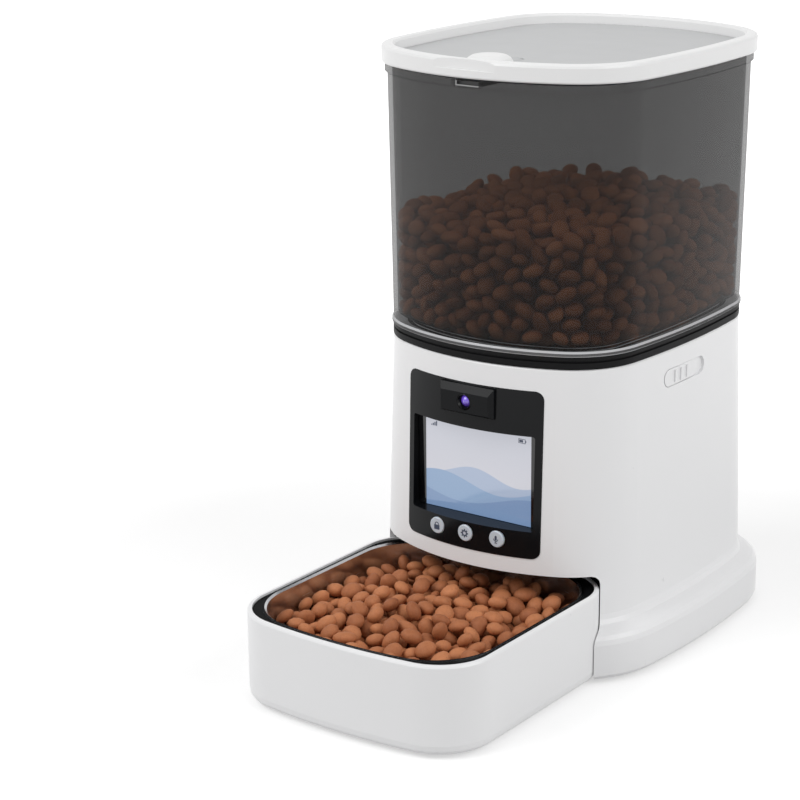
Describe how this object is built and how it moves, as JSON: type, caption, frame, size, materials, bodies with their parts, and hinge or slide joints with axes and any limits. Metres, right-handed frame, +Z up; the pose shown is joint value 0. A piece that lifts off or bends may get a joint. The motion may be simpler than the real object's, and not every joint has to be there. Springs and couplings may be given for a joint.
{
  "type": "pet feeder",
  "caption": "Automatic dry-food pet feeder: smoked hopper with hinged lid on a white tower, front panel with camera, screen and buttons, pull-out tray with a steel bowl.",
  "frame": {"origin": "on the floor, under the middle of the whole footprint of tower and tray", "axes": "+Z up; the front with tray and panel faces -Y; +X is on the right of someone who faces the front"},
  "size_m": [0.195, 0.349, 0.345],
  "materials": {
    "shell": "satin white moulded plastic",
    "lid_white": "satin white moulded plastic",
    "lid_grey": "fine matt grey plastic",
    "smoke": "clear smoke-grey plastic",
    "black_gloss": "glossy black plastic",
    "black_matt": "matt black plastic",
    "inner_white": "plain inner plastic",
    "inner_dark": "plain dark inner plastic",
    "rubber_black": "soft black rubber",
    "silicone": "soft grey silicone rubber",
    "steel": "polished stainless steel",
    "screw_steel": "plated steel",
    "lens": "coated glass",
    "screen": "lit screen behind glass",
    "board": "green circuit board",
    "button": "pale moulded plastic",
    "contact": "sprung contact metal",
    "cell": "plain wrapped cell",
    "bag": "white woven sachet",
    "food": "baked dry food, in the visual model only"
  },
  "bodies": {
    "base": {"housing": "shell", "base_plate": "inner_white", "bay_liner": "black_matt", "deck": "inner_white", "chute": "inner_white", "feet": "rubber_black", "base_screws": "screw_steel", "deck_screws": "screw_steel", "front_panel": "black_gloss", "camera_hood": "black_gloss", "camera_ring": "black_gloss", "camera_lens": "lens", "camera_board": "board", "display_glass": "screen", "display_module": "inner_dark", "main_board": "board", "control_board": "board", "speaker": "inner_dark", "gearbox": "inner_dark", "motor": "screw_steel", "gearbox_screws": "screw_steel", "power_socket": "black_matt", "battery_box": "inner_dark", "battery_contacts": "contact", "battery_cells": "cell", "battery_cover": "inner_white", "battery_screw": "screw_steel"},
    "lock_key": {"button_lock": "button"},
    "set_key": {"button_set": "button"},
    "talk_key": {"button_talk": "button"},
    "drive": {"drive_shaft": "screw_steel"},
    "latch_left": {"hopper_latch_left": "shell"},
    "latch_right": {"hopper_latch_right": "shell"},
    "hopper_unit": {"hopper": "smoke", "hopper_seal": "rubber_black", "funnel": "black_matt", "dosing_chamber": "black_matt", "outlet_cover": "black_matt", "hinge_pin": "screw_steel"},
    "rotor": {"rotor_hub": "inner_white", "rotor_vanes": "silicone"},
    "lid": {"lid_frame": "lid_white", "lid_panel": "lid_grey", "lid_seal": "silicone", "desiccant_case": "inner_white", "desiccant_bag": "bag"},
    "lid_lock": {"lid_latch": "lid_white"},
    "tray_unit": {"tray": "shell", "tray_feet": "rubber_black", "bowl_seat": "black_matt"},
    "bowl_unit": {"bowl": "steel"}
  },
  "joints": [
    {"name": "hopper_lift", "type": "slide", "parent": "base", "child": "hopper_unit", "axis": [0, 0, 1], "range_m": [0, 0.06]},
    {"name": "rotor_spin", "type": "hinge", "parent": "hopper_unit", "child": "rotor", "pos_m": [0, 0.055, 0.16], "axis": [0, 0, 1], "continuous": true},
    {"name": "drive_spin", "type": "hinge", "parent": "base", "child": "drive", "pos_m": [0, 0.055, 0.135], "axis": [0, 0, 1], "continuous": true},
    {"name": "lid_hinge", "type": "hinge", "parent": "hopper_unit", "child": "lid", "pos_m": [0, 0.1668, 0.339], "axis": [-1, 0, 0], "range_deg": [0, 85]},
    {"name": "lid_lock_slide", "type": "slide", "parent": "lid", "child": "lid_lock", "axis": [0, -1, 0], "range_m": [0, 0.0025]},
    {"name": "latch_left_slide", "type": "slide", "parent": "base", "child": "latch_left", "axis": [0, 1, 0], "range_m": [0, 0.008]},
    {"name": "latch_right_slide", "type": "slide", "parent": "base", "child": "latch_right", "axis": [0, 1, 0], "range_m": [0, 0.008]},
    {"name": "tray_slide", "type": "slide", "parent": "base", "child": "tray_unit", "axis": [0, -1, 0], "range_m": [0, 0.07]},
    {"name": "bowl_lift", "type": "slide", "parent": "tray_unit", "child": "bowl_unit", "axis": [0, 0, 1], "range_m": [0, 0.006]},
    {"name": "lock_press", "type": "slide", "parent": "base", "child": "lock_key", "axis": [0, 1, 0], "range_m": [0, 0.0008], "stiffness_N_per_m": 600, "springref_m": -0.001},
    {"name": "set_press", "type": "slide", "parent": "base", "child": "set_key", "axis": [0, 1, 0], "range_m": [0, 0.0008], "stiffness_N_per_m": 600, "springref_m": -0.001},
    {"name": "talk_press", "type": "slide", "parent": "base", "child": "talk_key", "axis": [0, 1, 0], "range_m": [0, 0.0008], "stiffness_N_per_m": 600, "springref_m": -0.001}
  ],
  "couplings": [
    {"joint": "drive_spin", "follows": "rotor_spin", "ratio": 1}
  ]
}
